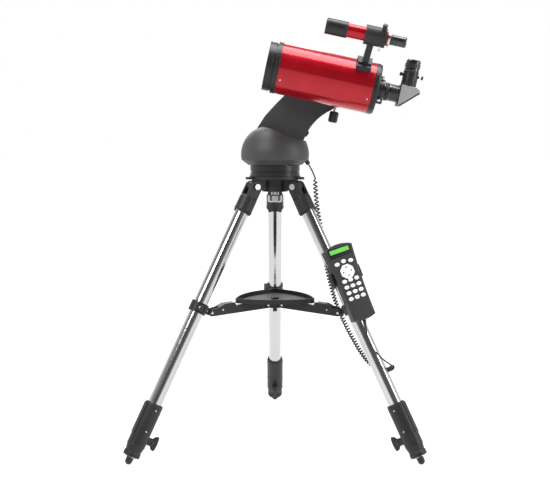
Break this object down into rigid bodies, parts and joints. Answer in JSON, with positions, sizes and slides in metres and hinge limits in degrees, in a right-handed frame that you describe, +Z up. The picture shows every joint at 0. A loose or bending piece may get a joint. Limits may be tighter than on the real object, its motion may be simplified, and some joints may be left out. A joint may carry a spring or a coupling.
{
  "type": "telescope on tripod",
  "caption": "Red compact catadioptric telescope on a single-arm motorised mount, with a folding steel tripod, accessory tray, finder and corded hand controller.",
  "frame": {"origin": "on the floor, directly under the azimuth axis, where the three feet stand round it", "axes": "+Z up along the azimuth axis, +X towards the eyepiece end of the tube, -Y the side that the hand controller faces"},
  "size_m": [0.6758, 0.5905, 0.9795],
  "materials": {
    "black_paint": "satin black powder coat",
    "black_plastic": "fine grained black moulding",
    "mount_grey": "dark grey satin moulding",
    "polished_steel": "polished stainless steel",
    "steel": "machined steel",
    "red_paint": "gloss metallic red lacquer",
    "glass": "coated glass",
    "mirror": "aluminised glass",
    "prism_grey": "light grey hammered paint",
    "gloss_black": "gloss black",
    "black_rubber": "black rubber",
    "key_white": "white silicone keys",
    "lcd": "backlit green display window",
    "brass": "machined brass"
  },
  "bodies": {
    "stand": {"tripod_head": "black_plastic", "tripod_bolts": "steel", "mount_foot": "black_paint", "cord_lead": "black_rubber"},
    "leg_left": {"leg_top_left": "black_plastic", "upper_tube_left": "polished_steel", "leg_clamp_left": "black_plastic", "brace_collar_left": "black_plastic"},
    "lower_leg_left": {"lower_leg_left": "steel"},
    "lock_knob_left": {"lock_knob_left": "black_plastic"},
    "brace_arm_left": {"brace_arm_left": "black_paint"},
    "leg_right": {"leg_top_right": "black_plastic", "upper_tube_right": "polished_steel", "leg_clamp_right": "black_plastic", "brace_collar_right": "black_plastic", "controller_holder": "black_plastic", "controller": "black_plastic", "controller_screen": "lcd", "number_keys": "key_white", "cord_curly": "black_rubber", "controller_lead": "black_rubber"},
    "lower_leg_right": {"lower_leg_right": "steel"},
    "lock_knob_right": {"lock_knob_right": "black_plastic"},
    "brace_arm_right": {"brace_arm_right": "black_paint"},
    "leg_back": {"leg_top_back": "black_plastic", "upper_tube_back": "polished_steel", "leg_clamp_back": "black_plastic", "brace_collar_back": "black_plastic"},
    "lower_leg_back": {"lower_leg_back": "steel"},
    "lock_knob_back": {"lock_knob_back": "black_plastic"},
    "brace_arm_back": {"brace_arm_back": "black_paint"},
    "brace": {"brace_hub": "black_paint", "tray": "black_plastic"},
    "azimuth": {"azimuth_base": "mount_grey", "fork_arm": "mount_grey", "arm_cover": "mount_grey", "drive_motors": "steel", "cord_plug": "black_rubber"},
    "altitude": {"altitude_hub": "brass", "saddle": "black_paint"},
    "saddle_knob": {"saddle_knob": "black_plastic"},
    "telescope": {"dovetail": "black_paint", "tube": "red_paint", "front_cell": "black_paint", "corrector": "glass", "rear_cell": "black_paint", "visual_back": "gloss_black", "finder_shoe": "black_plastic", "finder_bracket": "black_plastic", "finder_tube": "red_paint"},
    "primary_mirror": {"primary_mirror": "mirror"},
    "focus_knob": {"focus_knob": "black_rubber"},
    "diagonal": {"diagonal": "prism_grey", "prism": "glass"},
    "eyepiece": {"eyepiece": "gloss_black"},
    "finder_eyepiece": {"finder_eyepiece": "gloss_black"},
    "key_up": {"key_up": "key_white"},
    "key_left": {"key_left": "key_white"},
    "key_down": {"key_down": "key_white"},
    "key_right": {"key_right": "key_white"}
  },
  "joints": [
    {"name": "leg_fold_left", "type": "hinge", "parent": "stand", "child": "leg_left", "pos_m": [-0.04936, -0.0285, 0.609], "axis": [0.5, -0.866, 0], "range_deg": [0, 4]},
    {"name": "leg_fold_right", "type": "hinge", "parent": "stand", "child": "leg_right", "pos_m": [0.04936, -0.0285, 0.609], "axis": [0.5, 0.866, 0], "range_deg": [0, 4]},
    {"name": "leg_fold_back", "type": "hinge", "parent": "stand", "child": "leg_back", "pos_m": [0, 0.057, 0.609], "axis": [-1, 0, 0], "range_deg": [0, 4]},
    {"name": "brace_lift", "type": "slide", "parent": "stand", "child": "brace", "axis": [0, 0, 1], "range_m": [0, 0.06011]},
    {"name": "brace_arm_swing_left", "type": "hinge", "parent": "brace", "child": "brace_arm_left", "pos_m": [-0.02165, -0.0125, 0.331], "axis": [0.5, -0.866, 0], "range_deg": [0, 27.84]},
    {"name": "leg_extend_left", "type": "slide", "parent": "leg_left", "child": "lower_leg_left", "axis": [-0.4052, -0.234, -0.8838], "range_m": [0, 0.33]},
    {"name": "leg_lock_left", "type": "hinge", "parent": "leg_left", "child": "lock_knob_left", "pos_m": [-0.28733, -0.16589, 0.04729], "axis": [0.7654, 0.4419, -0.4679], "range_deg": [0, 270]},
    {"name": "brace_arm_swing_right", "type": "hinge", "parent": "brace", "child": "brace_arm_right", "pos_m": [0.02165, -0.0125, 0.331], "axis": [0.5, 0.866, 0], "range_deg": [0, 27.84]},
    {"name": "leg_extend_right", "type": "slide", "parent": "leg_right", "child": "lower_leg_right", "axis": [0.4052, -0.234, -0.8838], "range_m": [0, 0.33]},
    {"name": "leg_lock_right", "type": "hinge", "parent": "leg_right", "child": "lock_knob_right", "pos_m": [0.28733, -0.16589, 0.04729], "axis": [-0.7654, 0.4419, -0.4679], "range_deg": [0, 270]},
    {"name": "brace_arm_swing_back", "type": "hinge", "parent": "brace", "child": "brace_arm_back", "pos_m": [0, 0.025, 0.331], "axis": [-1, 0, 0], "range_deg": [0, 27.84]},
    {"name": "leg_extend_back", "type": "slide", "parent": "leg_back", "child": "lower_leg_back", "axis": [0, 0.4679, -0.8838], "range_m": [0, 0.33]},
    {"name": "leg_lock_back", "type": "hinge", "parent": "leg_back", "child": "lock_knob_back", "pos_m": [0, 0.33178, 0.04729], "axis": [0, -0.8838, -0.4679], "range_deg": [0, 270]},
    {"name": "azimuth_turn", "type": "hinge", "parent": "stand", "child": "azimuth", "pos_m": [0, 0, 0.659], "axis": [0, 0, 1], "range_deg": [-180, 180]},
    {"name": "altitude_tilt", "type": "hinge", "parent": "azimuth", "child": "altitude", "pos_m": [0.14, 0, 0.85], "axis": [0, 1, 0], "range_deg": [-17.2, 77.8]},
    {"name": "saddle_clamp", "type": "hinge", "parent": "altitude", "child": "saddle_knob", "pos_m": [0.1358, 0.0035, 0.76906], "axis": [0.2113, 0, 0.9774], "range_deg": [0, 300]},
    {"name": "dovetail_slide", "type": "slide", "parent": "altitude", "child": "telescope", "axis": [0.9774, 0, -0.2113], "range_m": [-0.02, 0.02]},
    {"name": "focus_turn", "type": "hinge", "parent": "telescope", "child": "focus_knob", "pos_m": [0.23352, -0.03, 0.80932], "axis": [0.9774, 0, -0.2113], "range_deg": [-1080, 1080]},
    {"name": "mirror_focus", "type": "slide", "parent": "telescope", "child": "primary_mirror", "axis": [0.9774, 0, -0.2113], "range_m": [-0.00209, 0.00209]},
    {"name": "diagonal_turn", "type": "hinge", "parent": "telescope", "child": "diagonal", "pos_m": [0.26218, -0.062, 0.82358], "axis": [0.9774, 0, -0.2113], "range_deg": [-90, 90]},
    {"name": "eyepiece_slide", "type": "slide", "parent": "diagonal", "child": "eyepiece", "axis": [0.2113, 0, 0.9774], "range_m": [0, 0.028]},
    {"name": "finder_focus", "type": "hinge", "parent": "telescope", "child": "finder_eyepiece", "pos_m": [0.26364, -0.15568, 0.92971], "axis": [0.9774, 0, -0.2113], "range_deg": [-180, 180]},
    {"name": "press_up", "type": "slide", "parent": "leg_right", "child": "key_up", "axis": [-0.2131, 0.9283, -0.3046], "range_m": [0, 0.001], "stiffness_N_per_m": 400},
    {"name": "press_left", "type": "slide", "parent": "leg_right", "child": "key_left", "axis": [-0.2131, 0.9283, -0.3046], "range_m": [0, 0.001], "stiffness_N_per_m": 400},
    {"name": "press_down", "type": "slide", "parent": "leg_right", "child": "key_down", "axis": [-0.2131, 0.9283, -0.3046], "range_m": [0, 0.001], "stiffness_N_per_m": 400},
    {"name": "press_right", "type": "slide", "parent": "leg_right", "child": "key_right", "axis": [-0.2131, 0.9283, -0.3046], "range_m": [0, 0.001], "stiffness_N_per_m": 400}
  ],
  "couplings": [
    {"joint": "leg_fold_right", "follows": "leg_fold_left", "ratio": 1},
    {"joint": "leg_fold_back", "follows": "leg_fold_left", "ratio": 1},
    {"joint": "brace_lift", "follows": "leg_fold_left", "m_per_rad": 0.86084},
    {"joint": "brace_arm_swing_left", "follows": "leg_fold_left", "ratio": 6.9582},
    {"joint": "brace_arm_swing_right", "follows": "leg_fold_left", "ratio": 6.9582},
    {"joint": "brace_arm_swing_back", "follows": "leg_fold_left", "ratio": 6.9582},
    {"joint": "focus_turn", "follows": "mirror_focus", "rad_per_m": 9009}
  ]
}
